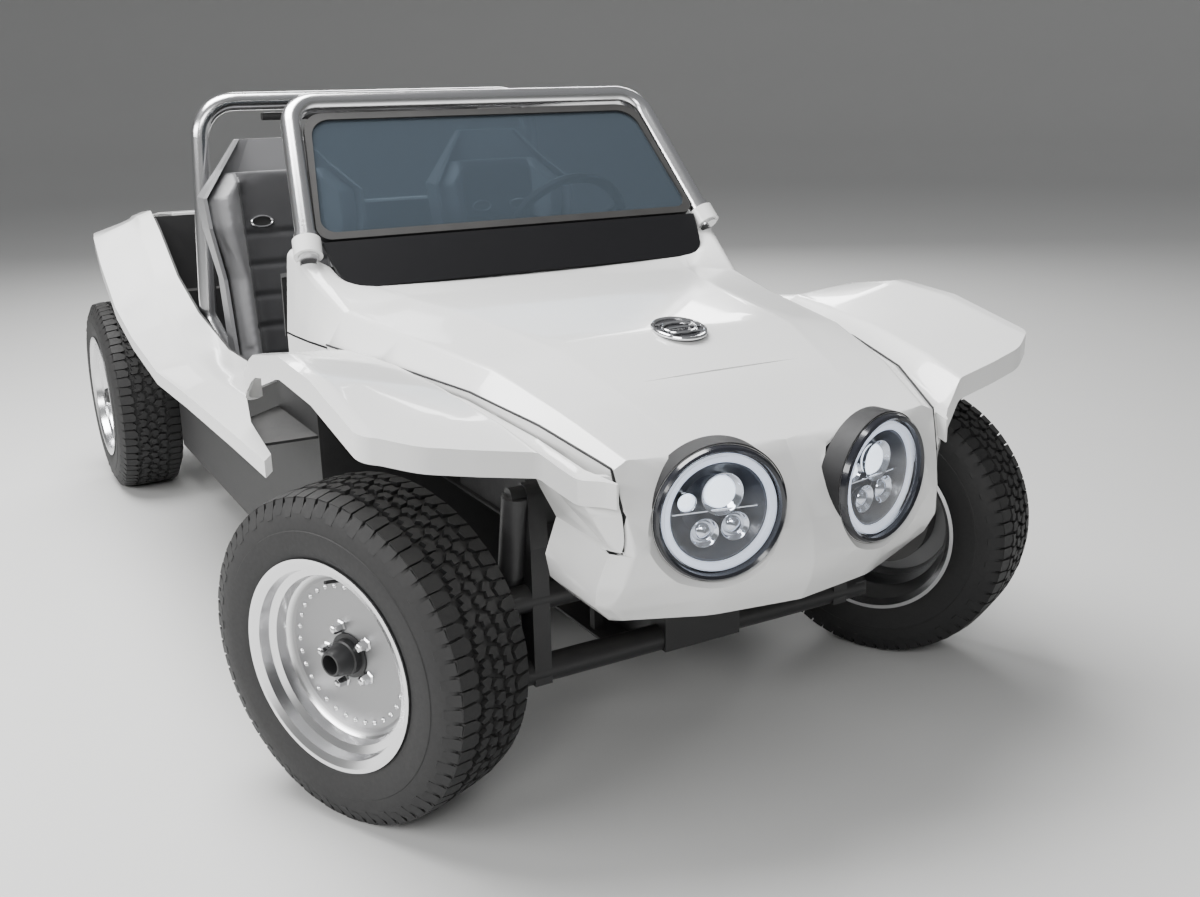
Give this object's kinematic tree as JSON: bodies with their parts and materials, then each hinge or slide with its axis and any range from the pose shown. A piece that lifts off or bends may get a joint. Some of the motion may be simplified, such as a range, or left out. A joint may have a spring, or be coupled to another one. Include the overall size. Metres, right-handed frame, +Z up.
{
  "type": "dune buggy",
  "caption": "Open two-seat dune buggy with a moulded white body, rear flat engine, roll hoop, steered front wheels and free-turning wheels.",
  "frame": {"origin": "on the ground under the middle of the overall length and width", "axes": "+Z up, nose towards -Y, the car's right side towards -X"},
  "size_m": [1.7342, 3.5475, 1.313],
  "materials": {
    "gelcoat_white": "gloss",
    "black_gelcoat": "gloss",
    "polished_tube": "polished",
    "black_rubber": "matte",
    "tinted_glass": "clear",
    "black_textured": "textured",
    "black_powder": "satin",
    "seat_shell": "satin",
    "seat_fabric": "woven",
    "lamp_black": "gloss",
    "lamp_glass": "clear",
    "lamp_red": "gloss",
    "tyre_rubber": "matte",
    "rim_alloy": "satin",
    "hub_chrome": "polished",
    "cast_metal": "matte",
    "engine_alloy": "matte",
    "shroud_black": "gloss",
    "exhaust_steel": "satin",
    "medallion_chrome": "polished"
  },
  "bodies": {
    "chassis": {"hood_panel": "gelcoat_white", "front_fender_right": "gelcoat_white", "front_fender_left": "gelcoat_white", "body_side_right": "gelcoat_white", "body_side_left": "gelcoat_white", "cockpit_tub": "black_textured", "front_bulkhead": "black_textured", "rear_deck": "gelcoat_white", "cowl_band": "black_gelcoat", "windscreen_frame": "polished_tube", "windscreen_gasket": "black_rubber", "windscreen_glass": "tinted_glass", "dashboard": "black_textured", "roll_hoop": "polished_tube", "hoop_bar": "black_powder", "seat_shells": "seat_shell", "seat_pads": "seat_fabric", "headlight_bezels": "lamp_black", "headlight_lenses": "lamp_glass", "tail_lamps": "lamp_red", "chassis_pan": "black_powder", "front_beam": "black_powder", "rear_arms": "black_powder", "transaxle": "cast_metal", "engine": "engine_alloy", "fan_shroud": "shroud_black", "exhaust": "exhaust_steel", "rear_bumper": "polished_tube", "fuel_tank": "black_powder", "steering_column": "black_powder", "gear_lever": "black_powder", "hood_medallion": "medallion_chrome"},
    "knuckle_right": {"knuckle_right": "cast_metal"},
    "knuckle_left": {"knuckle_left": "cast_metal"},
    "steering_wheel": {"steering_wheel": "black_rubber"},
    "wheel_front_right": {"tyre_front_right": "tyre_rubber", "rim_front_right": "rim_alloy", "hub_front_right": "hub_chrome"},
    "wheel_front_left": {"tyre_front_left": "tyre_rubber", "rim_front_left": "rim_alloy", "hub_front_left": "hub_chrome"},
    "wheel_rear_right": {"tyre_rear_right": "tyre_rubber", "rim_rear_right": "rim_alloy", "hub_rear_right": "hub_chrome"},
    "wheel_rear_left": {"tyre_rear_left": "tyre_rubber", "rim_rear_left": "rim_alloy", "hub_rear_left": "hub_chrome"}
  },
  "joints": [
    {"name": "steer_right", "type": "hinge", "parent": "chassis", "child": "knuckle_right", "pos_m": [-0.604, -1.262, 0.32], "axis": [0, 0, 1], "range_deg": [-58.3, 7.7]},
    {"name": "steer_left", "type": "hinge", "parent": "chassis", "child": "knuckle_left", "pos_m": [0.604, -1.262, 0.32], "axis": [0, 0, 1], "range_deg": [-58.3, 7.7]},
    {"name": "turn_steering_wheel", "type": "hinge", "parent": "chassis", "child": "steering_wheel", "pos_m": [0.335, -0.282, 0.9], "axis": [0, 0.8978, 0.4404], "range_deg": [-816.5, 108]},
    {"name": "spin_front_right", "type": "hinge", "parent": "knuckle_right", "child": "wheel_front_right", "pos_m": [-0.604, -1.262, 0.32], "axis": [0.9041, 0.4274, 0], "continuous": true},
    {"name": "spin_front_left", "type": "hinge", "parent": "knuckle_left", "child": "wheel_front_left", "pos_m": [0.604, -1.262, 0.32], "axis": [0.9041, 0.4274, 0], "continuous": true},
    {"name": "spin_rear_right", "type": "hinge", "parent": "chassis", "child": "wheel_rear_right", "pos_m": [-0.7, 1.108, 0.32], "axis": [1, 0, 0], "continuous": true},
    {"name": "spin_rear_left", "type": "hinge", "parent": "chassis", "child": "wheel_rear_left", "pos_m": [0.7, 1.108, 0.32], "axis": [1, 0, 0], "continuous": true}
  ],
  "couplings": [
    {"joint": "steer_left", "follows": "steer_right", "ratio": 1},
    {"joint": "turn_steering_wheel", "follows": "steer_right", "ratio": 14}
  ]
}
